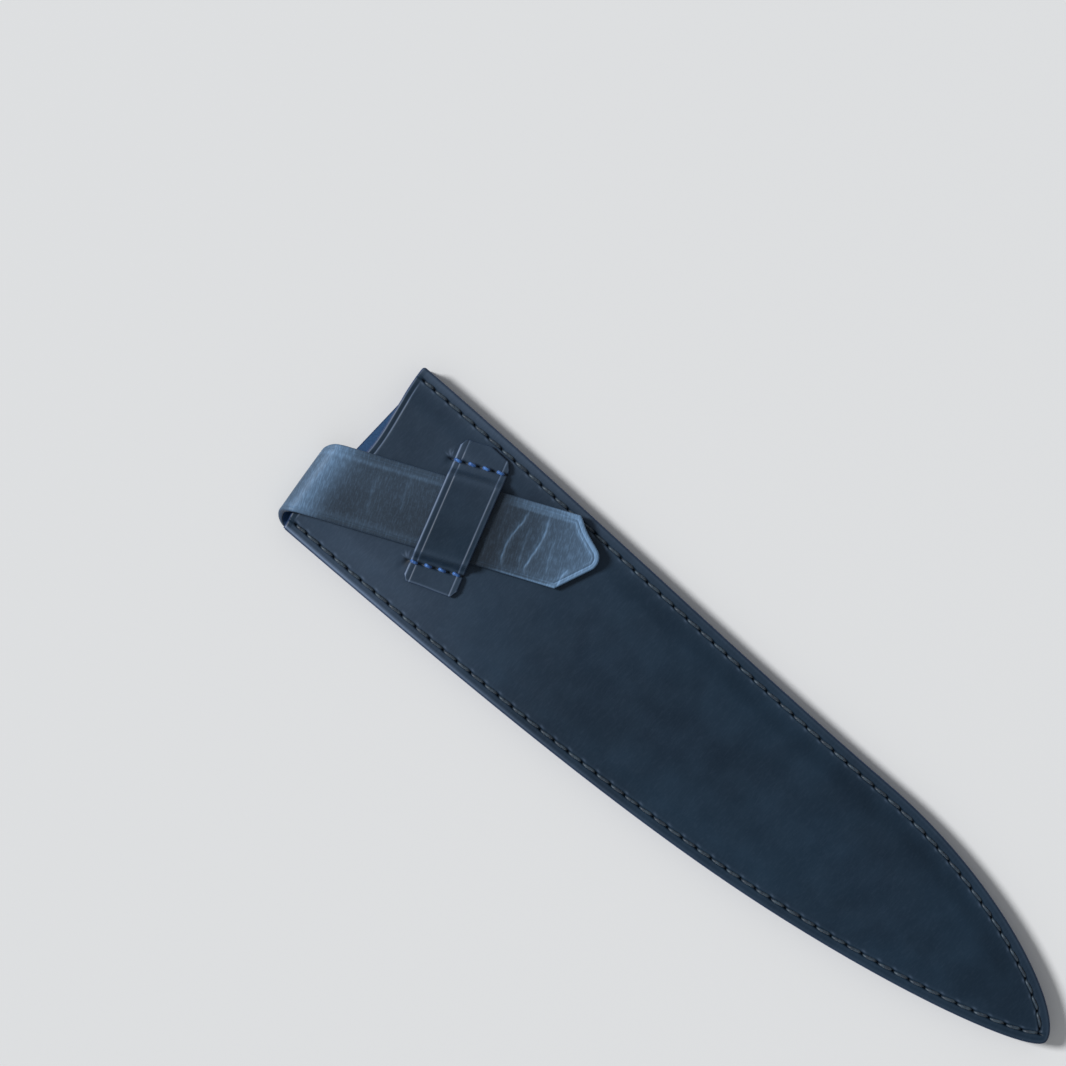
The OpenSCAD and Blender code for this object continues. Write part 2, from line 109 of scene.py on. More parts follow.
tip_point = np.array([sheath_length, -tip_drop])
spine_join = np.array([sheath_length - spine_tip_run, spine_bulge])
spine_flow = np.array([1, 0.032])
edge_corner = np.array([0, -mouth_width])
edge_join = edge_corner + [sheath_length - edge_tip_run, edge_rise]
edge_flow = np.array([1, 0.174])
spine_line = side_line(
    [(0, 0), (58, 1.9), spine_join - 59 * spine_flow, spine_join],
    [spine_join, spine_join + 48.06 * spine_flow, tip_point + [0, tip_round_spine], tip_point],
)
edge_line = side_line(
    [edge_corner, edge_corner + [81, 2.2], edge_join - 48 * edge_flow, edge_join],
    [edge_join, edge_join + 52.2 * edge_flow, tip_point - [0, tip_round_edge], tip_point],
)


def inward(line, side, x, d):
    """Point a distance d in from a side, square to it: side is 1 for the spine, -1 for the edge."""
    y = np.interp(x, line[:, 0], line[:, 1])
    heading = np.interp(x, line[:, 0], line[:, 2])
    return np.stack([x + side * d * np.sin(heading), y - side * d * np.cos(heading)], -1)


def width_at(x):
    """Width of the sheath at x."""
    return np.interp(x, *spine_line.T[:2]) - np.interp(x, *edge_line.T[:2])


def nearest(xy, outline, chosen):
    """Distance from the chosen points to the nearest point of an outline, and far from the rest."""
    out = np.full(xy.shape[:2], np.inf)
    points = xy[chosen]
    blocks = np.array_split(points, max(1, len(points) // 2000))
    out[chosen] = np.concatenate([
        np.sqrt(((block[:, None, :] - outline[None]) ** 2).sum(-1).min(1)) for block in blocks
    ])
    return out


def smooth(v):
    """Smooth step: 3v squared less 2v cubed, between 0 and 1."""
    v = np.clip(v, 0.0, 1.0)
    return v * v * (3 - 2 * v)


def bell(distance, width):
    """Bell of the distance: e to the power of minus its square, in widths."""
    return np.exp(-((distance / width) ** 2))


def rounding(q, r):
    """Drop of an edge rounded to a radius r, a distance q in from it: a quarter circle."""
    q = np.clip(q, 0, r)
    return r - np.sqrt(np.maximum(r * r - (r - q) ** 2, 0))


def crown(inset, width, start):
    """Rise of the moulded crown: a smooth step of the inset, times one of the width that fades
    it as the sheath narrows from 40 to 14 mm."""
    full = crown_rise * smooth((width - 14) / (40 - 14))
    return full * smooth((inset - start) / (crown_run - start))


def waviness(xy, scale, seed):
    """Gentle unevenness between -1 and 1: three sine waves in directions set by the seed."""
    waves = [
        np.sin((xy[..., 0] * math.cos(angle) + xy[..., 1] * math.sin(angle)) / scale + 2 * angle)
        for angle in seed + np.array([0.3, 1.7, 2.9])
    ]
    return sum(waves) / len(waves)


def hollow(xy, centre, heading, length, width):
    """Depth of a dent, from 0 to 1: a bell that is longer along its heading than across it."""
    dx, dy = xy[..., 0] - centre[0], xy[..., 1] - centre[1]
    along = dx * math.cos(heading) + dy * math.sin(heading)
    across = dy * math.cos(heading) - dx * math.sin(heading)
    return bell(along, length) * bell(across, width)


def station_places(step):
    """Places along the sheath: close at the mouth, even after it, crowding into the tip."""
    mouth = [0, 0.05, 0.15, 0.3, 0.5, 0.7, 0.9, 1.1, 1.3, 1.5, 1.7, 1.85, 2, 2.15, 2.3, 2.5, 2.8, 3.2]
    tip_zone = 44.0
    crowding = 1.75
    even = np.arange(3.6, sheath_length - tip_zone, step)
    turn = np.linspace(0, math.pi / 2, int(tip_zone * crowding / step))[:-1]
    tip = sheath_length - tip_zone * (1 - np.sin(turn))
    return np.concatenate([mouth, even, tip, [sheath_length - short_of_end]])


def panel_plan(x, rows, shares):
    """Plan of a panel and each point's inset. Rows lie at set insets from both sides, and at
    shares of the width left between them. Where the sheath narrows they are drawn together,
    those past 5 mm first. Near the tip no inset is more than the distance to the outline."""
    kept = 5.0
    width = width_at(x)[:, None]
    room = np.minimum(0.47 * width, crown_run)
    past = kept + (rows - kept) * np.maximum(room - kept, 0.1) / (crown_run - kept)
    d = np.where(rows > kept, past, rows) * np.minimum(1, room / (kept + 0.1))
    upper = inward(spine_line, 1, x[:, None] + 0 * d, d)
    lower = inward(edge_line, -1, x[:, None] + 0 * d, d)[:, ::-1]
    share = np.asarray(shares)[:, None]
    across = upper[:, -1:] * (1 - share) + lower[:, :1] * share
    plan = np.concatenate([upper, across, lower], axis=1)
    between = np.minimum(
        np.interp(across[..., 0], *spine_line.T[:2]) - across[..., 1],
        across[..., 1] - np.interp(across[..., 0], *edge_line.T[:2]),
    )
    inset = np.concatenate([d, np.maximum(between, d[:, -1:]), d[:, ::-1]], axis=1)
    tip_outline = np.vstack([spine_line[900:, :2], edge_line[900:, :2]])
    near_tip = plan[..., 0] > tip_outline[0, 0] + 12
    return plan, np.minimum(inset, nearest(plan, tip_outline, near_tip))


def seam_holes(line, side, start):
    """The awl holes of one side's seam, half a stitch before each stitch's middle and one after
    the last: rows of x, y and heading. Stitches are one pitch apart along the seam, and the
    first one is a quarter shorter."""
    places = [start]
    while places[-1] < sheath_length - seam_tip_gap:
        heading = np.interp(places[-1], line[:, 0], line[:, 2])
        places.append(places[-1] + stitch_pitch * math.cos(heading))
    places = np.array(places[:-1])
    heading = np.interp(places, line[:, 0], line[:, 2])
    half = stitch_pitch / 2 * np.stack([np.cos(heading), np.sin(heading)], -1)
    middle = inward(line, side, places, stitch_inset + 0 * places)
    holes = np.vstack([middle - half, middle[-1:] + half[-1:]])
    holes[0] += half[0] / 2
    return np.column_stack([holes, np.append(heading, heading[-1])])


def to_frame(points):
    """Layout millimetres to the shared frame, in metres."""
    return (np.asarray(points, float) + layout_zero) * MM


def new_piece(name, points, faces, marks=()):
    """A closed mesh piece from layout points and faces, its normals turned outwards, with its
    named marks kept on the points."""
    mesh = bpy.data.meshes.new(name)
    mesh.from_pydata(to_frame(points).tolist(), [], faces)
    shell = bmesh.new()
    shell.from_mesh(mesh)
    bmesh.ops.recalc_face_normals(shell, faces=shell.faces)
    shell.to_mesh(mesh)
    shell.free()
    for mark, values in dict(marks).items():
        mesh.attributes.new(mark, "FLOAT", "POINT").data.foreach_set("value", np.float32(values))
    mesh.polygons.foreach_set("use_smooth", np.ones(len(mesh.polygons), bool))
    mesh.set_sharp_from_angle(angle=math.radians(70))
    piece = bpy.data.objects.new(name, mesh)
    bpy.context.collection.objects.link(piece)
    return piece


def leather_sheet(name, face, back, marks):
    """Closed sheet: quads over the fine face and over a plain back that keeps every fourth row
    and station, with one wall face between each two kept points of the border. The back is
    flesh side, and its border is burnished like the wall."""
    n, m = face.shape[:2]
    keep_i = np.unique(np.append(np.arange(0, n, 4), n - 1))
    keep_j = np.unique(np.append(np.arange(0, m, 4), m - 1))
    fine = np.arange(n * m).reshape(n, m)
    plain = n * m + np.arange(len(keep_i) * len(keep_j)).reshape(len(keep_i), len(keep_j))
    over = np.stack([fine[:-1, :-1], fine[:-1, 1:], fine[1:, 1:], fine[1:, :-1]], -1).reshape(-1, 4)
    under = np.stack([plain[:-1, :-1], plain[1:, :-1], plain[1:, 1:], plain[:-1, 1:]], -1).reshape(-1, 4)
    match = np.full((n, m), -1)
    match[np.ix_(keep_i, keep_j)] = plain
    loop = np.concatenate([fine[:, 0], fine[-1, 1:], fine[-2::-1, -1], fine[0, -2:0:-1]])
    match = match.ravel()[loop]
    corners = np.nonzero(match >= 0)[0]
    ring = np.append(loop, loop[0]).tolist()
    walls = [
        ring[a:b + 1] + [int(match[b % len(match)]), int(match[a])]
        for a, b in zip(corners, np.append(corners[1:], len(match)))
    ]
    inner = np.zeros(plain.shape)
    inner[1:-1, 1:-1] = 1
    back_marks = {"flesh": inner.ravel(), "edge": 1 - inner.ravel()}
    marks = {
        mark: np.concatenate([np.ravel(values), back_marks.get(mark, np.zeros(plain.size))])
        for mark, values in {"flesh": 0 * face[..., 0], **marks}.items()
    }
    points = np.vstack([face.reshape(-1, 3), back[np.ix_(keep_i, keep_j)].reshape(-1, 3)])
    return new_piece(name, points, over.tolist() + under.tolist() + walls, marks)


def linear(code):
    """sRGB hex colour as linear red, green, blue and alpha."""
    parts = [int(code[i:i + 2], 16) / 255 for i in (1, 3, 5)]
    return [c / 12.92 if c <= 0.04045 else ((c + 0.055) / 1.055) ** 2.4 for c in parts] + [1.0]


def add(tree, kind, links=(), **settings):
    """A node of that kind with its own settings, and its sockets' values or sources."""
    node = tree.nodes.new("ShaderNode" + kind)
    for key, value in settings.items():
        setattr(node, key, value)
    for socket, value in dict(links).items():
        if isinstance(value, bpy.types.NodeSocket):
            tree.links.new(value, node.inputs[socket])
        else:
            node.inputs[socket].default_value = value
    return node


def blended(tree, share, first, second):
    """Colour between two colours, by a share from 0 to 1."""
    return add(tree, "Mix", {0: share, 6: first, 7: second}, data_type="RGBA").outputs[2]


def figured(tree, operation, first, second):
    """A number from two numbers or sources, by one operation."""
    return add(tree, "Math", {0: first, 1: second}, operation=operation).outputs[0]


def eased(tree, source, low, high, bottom=0.0, top=1.0):
    """A number eased from bottom to top as the source goes from low to high."""
    links = {"Value": source, "From Min": low, "From Max": high, "To Min": bottom, "To Max": top}
    return add(tree, "MapRange", links, interpolation_type="SMOOTHSTEP").outputs["Result"]


def pull_up_leather(name, dark, light, worn_and_lit, burnished, flesh, grained, place=None, roughness=0.5):
    """Waxed pull-up cowhide: dyed through, smooth and a little waxy, and paler where it is bent
    or rubbed. The same pale colour is also painted in as highlights and pools of light. Scales
    are per metre, so its clouds are 30 mm and 9 mm across, its specks 0.7 mm, and its rubbed
    streaks 0.4 mm wide and 2.4 mm long. Its pores are 0.35 mm apart, twice the real size so
    they show. Cut edges are burnished to a shine, the flesh side has a matt nap, and painted
    shade darkens its holes, its grooves and other shaded places."""
    material = bpy.data.materials.new(name)
    material.use_nodes = True
    tree = material.node_tree
    tree.nodes.clear()
    if place:
        where = add(tree, "Attribute", attribute_name=place).outputs["Vector"]
    else:
        where = add(tree, "TexCoord").outputs["Object"]
    marks = {
        mark: add(tree, "Attribute", attribute_name=mark).outputs["Fac"]
        for mark in ("wear_and_painted_light", "edge", "flesh", "painted_shade")
    }
    clouds = add(tree, "TexNoise", {"Vector": where, "Scale": 33.0, "Detail": 3.0}).outputs[0]
    mottle = add(tree, "TexNoise", {"Vector": where, "Scale": 110.0, "Detail": 5.0}).outputs[0]
    specks = add(tree, "TexNoise", {"Vector": where, "Scale": 1500.0, "Detail": 3.0}).outputs[0]
    laid = add(tree, "Mapping", {"Vector": where, "Scale": (2300.0, 420.0, 900.0)}).outputs[0]
    streaks = add(tree, "TexNoise", {"Vector": laid, "Scale": 1.0, "Detail": 2.0}).outputs[0]
    grain = add(tree, "TexVoronoi", {"Vector": where, "Scale": 2900.0}).outputs["Distance"]
    cloud_share = eased(tree, clouds, 0.3, 0.72, 0.1, 0.6)
    share = figured(tree, "ADD", cloud_share, eased(tree, mottle, 0.3, 0.75, 0.0, 0.35))
    colour = blended(tree, share, linear(dark), linear(light))
    streaked = eased(tree, streaks, 0.36, 0.7, 1 - 2.5 * grained, 1 + 2 * grained)
    rub_and_light = figured(tree, "MULTIPLY", marks["wear_and_painted_light"], streaked)
    speckled = eased(tree, specks, 0.42, 0.7, 0.0, 0.4 * grained)
    scratched = eased(tree, streaks, 0.45, 0.75, 0.0, grained)
    rub_and_light = figured(tree, "ADD", rub_and_light, figured(tree, "ADD", speckled, scratched))
    # The pale colour serves both real wear and painted highlights and pools of light.
    colour = blended(tree, figured(tree, "MINIMUM", rub_and_light, 1.0), colour, linear(worn_and_lit))
    colour = blended(tree, marks["edge"], colour, linear(burnished))
    nap = blended(tree, eased(tree, specks, 0.3, 0.7, 0.75, 1.0), linear(dark), linear(flesh))
    colour = blended(tree, marks["flesh"], colour, nap)
    # Painted shade: a near-black laid where holes, grooves and the keeper's shadow would be shaded.
    painted_shade_colour = linear("#0c131b")
    colour = blended(tree, marks["painted_shade"], colour, painted_shade_colour)
    rough = eased(tree, mottle, 0.3, 0.7, roughness - 0.06, roughness + 0.08)
    rough = figured(tree, "SUBTRACT", rough, figured(tree, "MULTIPLY", marks["edge"], 0.1))
    rough = figured(tree, "ADD", rough, figured(tree, "MULTIPLY", marks["flesh"], 0.4))
    relief = None
    reliefs = ((grain, 0.2, 0.00006), (streaks, 2 * grained, 0.00008), (mottle, 0.25, 0.0003))
    for height, strength, depth in reliefs:
        bump = add(tree, "Bump", {"Height": height, "Strength": strength, "Distance": depth})
        if relief:
            tree.links.new(relief, bump.inputs["Normal"])
        relief = bump.outputs["Normal"]
    shader = add(tree, "BsdfPrincipled", {
        "Base Color": colour, "Roughness": rough, "Normal": relief,
        "IOR": 1.48, "Specular IOR Level": 0.22, "Coat Weight": 0.03, "Coat Roughness": 0.3,
    })
    add(tree, "OutputMaterial", {"Surface": shader.outputs["BSDF"]})
    return material


fold_corner = np.array([0.35, -mouth_width])
fold_lean = math.radians(6.75)
strap_turn = math.radians(26)
strap_middle = 18.1
strap_origin = fold_corner + strap_middle * np.array([-math.sin(fold_lean), math.cos(fold_lean)])


def on_strap(x, y):
    """Layout place of a point x along the strap from its fold and y across it from its middle."""
    c, s = math.cos(strap_turn), math.sin(strap_turn)
    return np.stack([strap_origin[0] + x * c - y * s, strap_origin[1] + x * s + y * c], -1)


keeper_at = 46.0
keeper_half = 8.564
keeper_lean = math.tan(math.radians(7))
keeper_rows = {"upper": 17.3, "lower": -16.2}
keeper_pitch = 4.5
keeper_holes = -9.5 + keeper_pitch * np.arange(5)
keeper_slit_lean = math.radians(9)


def on_keeper(across, y):
    """Layout place of a point of the keeper, y up the strap's width and across from its middle."""
    return on_strap(keeper_at + y * keeper_lean + across, y)


panel_leather = pull_up_leather(
    "waxed_pull_up_leather", dark="#0b1d2c", light="#152b3d", worn_and_lit="#687a94",
    burnished="#22345a", flesh="#35557c", grained=0.022,
)
panel_x = station_places(0.38)
rim_rows = [0, 0.04, 0.12, 0.25, 0.42, 0.62, 0.85, 1.2, 1.7, 2.2]
seam_rows = np.arange(2.45, 4.5, 0.17)
crown_rows = [4.7, 5.2, 6, 7, 8, 9, 10, 11, crown_run]
panel_rows = np.concatenate([rim_rows, seam_rows, crown_rows])
front_shares = np.concatenate([
    [0.03], np.linspace(0.055, 0.11, 8), np.linspace(0.17, 0.78, 11),
    np.linspace(0.81, 0.87, 8), [0.93],
])
front_plan, front_inset = panel_plan(panel_x, panel_rows, front_shares)
front_width = width_at(panel_x)[:, None]
across_mouth = np.clip(-front_plan[..., 1] / mouth_width, 0, 1)
notch = notch_depth * (1 - np.cos(2 * np.pi * across_mouth)) / 2
notch = notch + corner_step * smooth((across_mouth - 0.9) / 0.09) + rounding(front_inset, corner_r)
mouth_inset = panel_x[:, None] * (1 - notch / notch_fade)
notch_share = np.clip(1 - front_plan[..., 0] / notch_fade, 0, None)
front_xy = front_plan + np.dstack([notch * notch_share, 0 * notch])
seams = {
    "spine": seam_holes(spine_line, side=1, start=4.5),
    "edge": seam_holes(edge_line, side=-1, start=5.5),
}


def at_holes(xy, aside, length, width):
    """Marks at the seam's awl holes over a panel, from 0 to 1: each is a slit that leans 10
    degrees from the seam, or a mark beside it, moved aside towards the sheath's middle."""
    out = 0 * xy[..., 0]
    for side_name, side in (("spine", 1), ("edge", -1)):
        for x, y, heading in seams[side_name]:
            near = np.nonzero(np.abs(panel_x - x) < 9)[0]
            part = slice(near[0], near[-1] + 1)
            centre = x + side * aside * math.sin(heading), y - side * aside * math.cos(heading)
            mark = hollow(xy[part], centre, heading - slit_lean, length, width)
            out[part] = np.maximum(out[part], mark)
    return out


front_holes = at_holes(front_xy, aside=0.0, length=0.9, width=0.36)
pucker = 0 * front_inset
pale_pucker = 0.24 * at_holes(front_xy, aside=0.95, length=0.7, width=0.3)
for y in keeper_rows.values():
    place = on_keeper(keeper_holes[0], y)
    slit = hollow(front_xy, place, strap_turn - keeper_slit_lean, length=1.1, width=0.42)
    front_holes = np.maximum(front_holes, slit)
    dx, dy = front_xy[..., 0] - place[0], front_xy[..., 1] - place[1]
    pucker += np.cos(5 * np.arctan2(dy, dx) + 1) * bell(np.hypot(dx, dy) - 1.6, 1.2)
    for ray, strength in ((1.6, 0.5), (2.0, 0.4), (2.55, 0.25)):
        beside = place + 1.7 * np.array([math.cos(strap_turn + ray), math.sin(strap_turn + ray)])
        crease = hollow(front_xy, beside, strap_turn + ray, length=1.0, width=0.24)
        pale_pucker += strength * crease
front_rim = np.minimum(front_inset, mouth_inset)
groove = smooth(1 - np.abs(front_inset - stitch_inset) / 0.8)
mouth_line = bell(mouth_inset - mouth_line_inset, 0.2) * smooth((front_inset - 3.6) / 5)
front_z = (
    front_top + crown(front_inset, front_width, crown_start) - rounding(front_rim, burnish_r)
    - 0.3 * groove - hole_depth * front_holes - 0.18 * mouth_line + 0.07 * pucker
    + 0.05 * waviness(front_xy, 7.0, 0.4) * smooth((front_inset - 5) / 6)
)
front_under = front_bottom + crown(front_inset, front_width, welt_w)

# The front's wear and painted light, from 0 to 1: paler at the mouth's line, along the border and beside
# the holes, with light painted near the mouth and highlights painted on the rims.
mouth_band = smooth((mouth_line_inset - mouth_inset) / 0.3)
# Painted highlight: a thin pale line along the notch's rounded edge.
painted_notch_highlight = bell(mouth_inset - 0.45, 0.25) * smooth((front_inset - 3) / 4)
# Painted light: the face is painted paler near the mouth, most on its edge side, as a pool of light that
# falls off towards the tip.
near_mouth = bell(front_xy[..., 0] - 30, 55)
painted_light_near_mouth = 0.01 + 0.08 * near_mouth + 0.03 * near_mouth * bell(front_inset - 5, 7)
painted_light_near_mouth = painted_light_near_mouth + 0.07 * bell(front_xy[..., 0] - 26, 34) * bell(front_xy[..., 1] + 54, 18)
on_edge_side = front_plan[..., 1] < np.interp(front_plan[..., 0], *spine_line.T[:2]) - front_width / 2
# Painted highlight: a pale line on the rounded rim, bright on the edge side near the mouth, which faces
# the key light, and faint elsewhere.
painted_rim_highlight = 0.08 + 0.85 * on_edge_side * bell(front_xy[..., 0], 85)
border = (0.03 + 0.13 * bell(front_xy[..., 0], 75)) * bell(front_inset - 1.4, 0.9)
gullies = 0.03 * bell(np.abs(front_inset - stitch_inset) - 1.05, 0.3)
front_wear_and_light = (
    painted_light_near_mouth * (1 - 0.8 * mouth_band) + painted_rim_highlight * bell(front_inset - 0.85, 0.36)
    + border * (1 - 0.85 * on_edge_side) + gullies + pale_pucker + 0.75 * mouth_line + 0.5 * painted_notch_highlight
)
front_panel = leather_sheet(
    "front_panel_leather", np.dstack([front_xy, front_z]), np.dstack([front_xy, front_under]),
    {
        "wear_and_painted_light": front_wear_and_light,
        "edge": smooth((0.42 - front_rim) / 0.3),
        # Painted shade: the awl holes are darkened as if shaded.
        "painted_shade": np.clip(1.1 * front_holes, 0, 1),
    },
)
front_panel.data.materials.append(panel_leather)
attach(front_panel, "root")
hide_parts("front_panel")

# Keeper
# A band of the same hide, 1.5 mm thick, that holds the strap down. It is pressed with a
# crease line along both sides, laid over the strap and sewn to the front panel at its ends.
strap_half = 11.9
strap_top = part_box("strap_tongue")[1].z / MM
keeper_t = 1.5
keeper_slack = 0.3
keeper_bottom = strap_top + keeper_slack
keeper_foot = 15.1
keeper_reach_spine = 24.4
keeper_reach_edge = 22.6
left_crease, right_crease = 2.1, 2.0


def side_gap(xy, line):
    """Distance of a point from a long side, taken square to the side's heading there."""
    gap = np.abs(xy[..., 1] - np.interp(xy[..., 0], *line.T[:2]))
    return gap * np.cos(np.interp(xy[..., 0], line[:, 0], line[:, 2]))


def keeper_top(across, y):
    """Upper face of the keeper: level over the strap, then a smooth step down to the panel."""
    xy = on_keeper(across, y)
    inset = np.minimum(side_gap(xy, spine_line), side_gap(xy, edge_line))
    rest = front_top + crown(inset, width_at(xy[..., 0]), crown_start) + 0.05
    down = smooth((np.abs(y) - strap_half - 0.6) / 2.6)
    return keeper_bottom + (rest - keeper_bottom) * down + keeper_t


edge_steps = np.array([
    0, 0.04, 0.1, 0.2, 0.34, 0.5, 0.75, 1.05, 1.35, 1.6, 1.8, 1.95, 2.05, 2.15, 2.25, 2.4, 2.6,
])
level_steps = np.arange(-keeper_half + 2.9, keeper_half - 2.7, 0.32)
keeper_across = np.concatenate([-keeper_half + edge_steps, level_steps, keeper_half - edge_steps[::-1]])
corner_cut = 2.0 * smooth(1 - (keeper_half - np.abs(keeper_across)) / 1.5)
seam_line = -(stitch_inset + 0.8)
slope = math.cos(strap_turn) + math.sin(strap_turn) * keeper_lean
to_seam = (seam_line - strap_origin[1] - math.sin(strap_turn) * (keeper_at + keeper_across)) / slope
spine_end = (np.minimum(keeper_reach_spine, to_seam) - corner_cut)[:, None]
edge_end = (-keeper_reach_edge + corner_cut - 0.8 * smooth((keeper_across + 6) / 14))[:, None]
end_steps = np.concatenate([edge_steps[:8] / 6.5, np.linspace(0.21, 1, 20)])
keeper_y = np.concatenate([
    spine_end + (keeper_foot - spine_end) * end_steps,
    np.arange(keeper_foot - 0.25, -keeper_foot, -0.25) + 0 * spine_end,
    edge_end + (-keeper_foot - edge_end) * end_steps[::-1],
], axis=1)
keeper_a = keeper_across[:, None] + 0 * keeper_y
keeper_rim = np.minimum(spine_end - keeper_y, keeper_y - edge_end)
keeper_rim = np.minimum(keeper_half - np.abs(keeper_a), keeper_rim)
left_line = bell(keeper_a + keeper_half - left_crease, 0.24)
right_line = bell(keeper_half - right_crease - keeper_a, 0.24)
keeper_xy = on_keeper(keeper_a, keeper_y)
keeper_flat = np.dstack([keeper_a, keeper_y])
keeper_pits = 0 * keeper_a
keeper_dip = 0 * keeper_a
for y in keeper_rows.values():
    keeper_dip += 0.16 * bell(keeper_y - y, 1.5)
    for across in keeper_holes:
        pit = hollow(keeper_flat, (across, y), -keeper_slit_lean, length=1.25, width=0.4)
        keeper_pits = np.maximum(keeper_pits, pit)
keeper_z = (
    keeper_top(keeper_a, keeper_y) - rounding(keeper_rim, 0.5) - 0.16 * (left_line + right_line)
    - keeper_dip - hole_depth * keeper_pits + 0.05 * waviness(keeper_xy, 3.1, 1.1)
)
# Painted highlights: pale lines on the keeper's rims, strongest on the left rim, which faces the key
# light, fainter on its lower end and faintest on the right rim in its shade.
painted_left_rim_highlight = bell(keeper_a + keeper_half - 0.4, 0.22)
painted_right_rim_highlight = bell(keeper_half - 0.4 - keeper_a, 0.25)
painted_end_rim_highlight = bell(keeper_y - edge_end - 0.4, 0.25)
over_edges = bell(np.abs(keeper_y) - strap_half - 0.5, 1.3)
past_strap = smooth((np.abs(keeper_y) - strap_half - 1) / 4)
keeper_wear_and_light = (
    0.32 * left_line + 0.45 * right_line + 0.9 * painted_left_rim_highlight + 0.12 * painted_right_rim_highlight + 0.3 * painted_end_rim_highlight
    + 0.06 * over_edges + 0.02 + 0.05 * smooth((keeper_y + 10) / 24) + 0.09 * past_strap
)
keeper = leather_sheet(
    "keeper_leather", np.dstack([keeper_xy, keeper_z]),
    np.dstack([keeper_xy, keeper_top(keeper_a, keeper_y) - keeper_t]),
    {
        "wear_and_painted_light": keeper_wear_and_light,
        "edge": 0.7 * smooth((0.2 - keeper_rim) / 0.2),
        # Painted shade: the stitch pits are darkened as if shaded.
        "painted_shade": np.clip(1.1 * keeper_pits, 0, 1),
    },
)
keeper.data.materials.append(panel_leather)
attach(keeper, "root")
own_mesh(keeper)
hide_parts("keeper")

# Keeper stitches
# Two rows of saddle stitches in 1 mm waxed linen thread, bright blue, four to a row. Each
# one humps over the leather between two awl holes, and the first goes round the keeper's edge.


def thread_tubes(paths, radius, turns, around=12):
    """Points and faces of twisted threads, one closed tube for each path. The radius is that of
    two plies laid side by side, which turn about the path as it goes along."""
    count, steps = paths.shape[:2]
    way = np.gradient(paths, axis=1)
    way /= np.linalg.norm(way, axis=-1, keepdims=True)
    level = np.cross([0, 0, 1.0], way)
    level /= np.linalg.norm(level, axis=-1, keepdims=True)
    upright = np.cross(way, level)
    angle = np.linspace(0, 2 * np.pi, around, endpoint=False)
    lay = np.linspace(0, turns * np.pi, steps)[None, :, None]
    r = (radius * (0.8 + 0.2 * np.abs(np.cos(angle - lay))))[..., None]
    ring = level[:, :, None] * np.cos(angle)[:, None] + upright[:, :, None] * np.sin(angle)[:, None]
    points = (paths[:, :, None] + r * ring).reshape(-1, 3)
    index = np.arange(count * steps * around).reshape(count, steps, around)
    beside = np.roll(index, -1, axis=2)
    sides = np.stack([index[:, :-1], beside[:, :-1], beside[:, 1:], index[:, 1:]], -1).reshape(-1, 4)
    return points, sides.tolist() + index[:, 0, ::-1].tolist() + index[:, -1].tolist()


def humped(first, last, crest, low_first, low_last, steps=15):
    """Paths from one hole to the next: straight in plan, and in height a crest that falls away to
    each hole by the fourth power of the distance from the middle."""
    t = np.linspace(0, 1, steps)
    plan = first[:, None] * (1 - t[:, None]) + last[:, None] * t[:, None]
    low = np.where(t < 0.5, low_first[:, None], low_last[:, None])
    return np.dstack([plan, crest[:, None] - (crest[:, None] - low) * np.abs(2 * t - 1) ** 4])


def waxed_thread(name, colour, bright, roughness=0.42):
    """Waxed linen thread, two plies: dyed, with the sheen of its wax. Scales are per metre, so
    its tones are 1.4 mm long and its fibres 0.2 mm wide, coarser than real so they show."""
    material = bpy.data.materials.new(name)
    material.use_nodes = True
    tree = material.node_tree
    tree.nodes.clear()
    where = add(tree, "TexCoord").outputs["Object"]
    fibre = add(tree, "TexNoise", {"Vector": where, "Scale": 5000.0, "Detail": 2.0}).outputs[0]
    tone = add(tree, "TexNoise", {"Vector": where, "Scale": 700.0, "Detail": 2.0}).outputs[0]
    bump = add(tree, "Bump", {"Height": fibre, "Strength": 0.4, "Distance": 0.00006})
    shader = add(tree, "BsdfPrincipled", {
        "Base Color": blended(tree, eased(tree, tone, 0.35, 0.65), linear(colour), linear(bright)),
        "Roughness": roughness, "Normal": bump.outputs["Normal"], "IOR": 1.5, "Sheen Weight": 0.15,
    })
    add(tree, "OutputMaterial", {"Surface": shader.outputs["BSDF"]})
    return material


keeper_thread = waxed_thread("blue_linen_thread", colour="#244f8c", bright="#3b70b6")
keeper_thread_r = 0.58
hole_gap = 1.3
thread_slant = 0.14
thread_dip = 1.3
first_dip = 2.2
for row, y in keeper_rows.items():
    middles = (keeper_holes[1:] + keeper_holes[:-1]) / 2
    crest = keeper_top(middles, y + 0 * middles) + 0.1
    low_first = crest - [first_dip, thread_dip, thread_dip, thread_dip]
    first = on_keeper(keeper_holes[:-1] + hole_gap, y + thread_slant)
    last = on_keeper(keeper_holes[1:] - hole_gap, y - thread_slant)
    paths = humped(first, last, crest, low_first, crest - thread_dip)
    stitches = new_piece(f"keeper_thread_{row}", *thread_tubes(paths, keeper_thread_r, turns=1.0))
    stitches.data.materials.append(keeper_thread)
    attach(stitches, "root")
    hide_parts(f"keeper_stitches_{row}")

# Welts
# Strips of the hide 7 mm wide between the two panels, glued and sewn in along both long
# sides, so what the sheath holds meets leather and never the thread. They butt at the tip.


def ringed_piece(name, rings, marks):
    """A closed piece from rings of points: quads from each ring to the next, and the first and
    the last ring as its ends."""
    n, m = rings.shape[:2]
    index = np.arange(n * m).reshape(n, m)
    beside = np.roll(index, -1, axis=1)
    quads = np.stack([index[:-1], index[1:], beside[1:], beside[:-1]], -1).reshape(-1, 4)
    faces = quads.tolist() + [index[0].tolist(), index[-1, ::-1].tolist()]
    marks = {mark: np.ravel(values) for mark, values in marks.items()}
    return new_piece(name, rings.reshape(-1, 3), faces, marks)


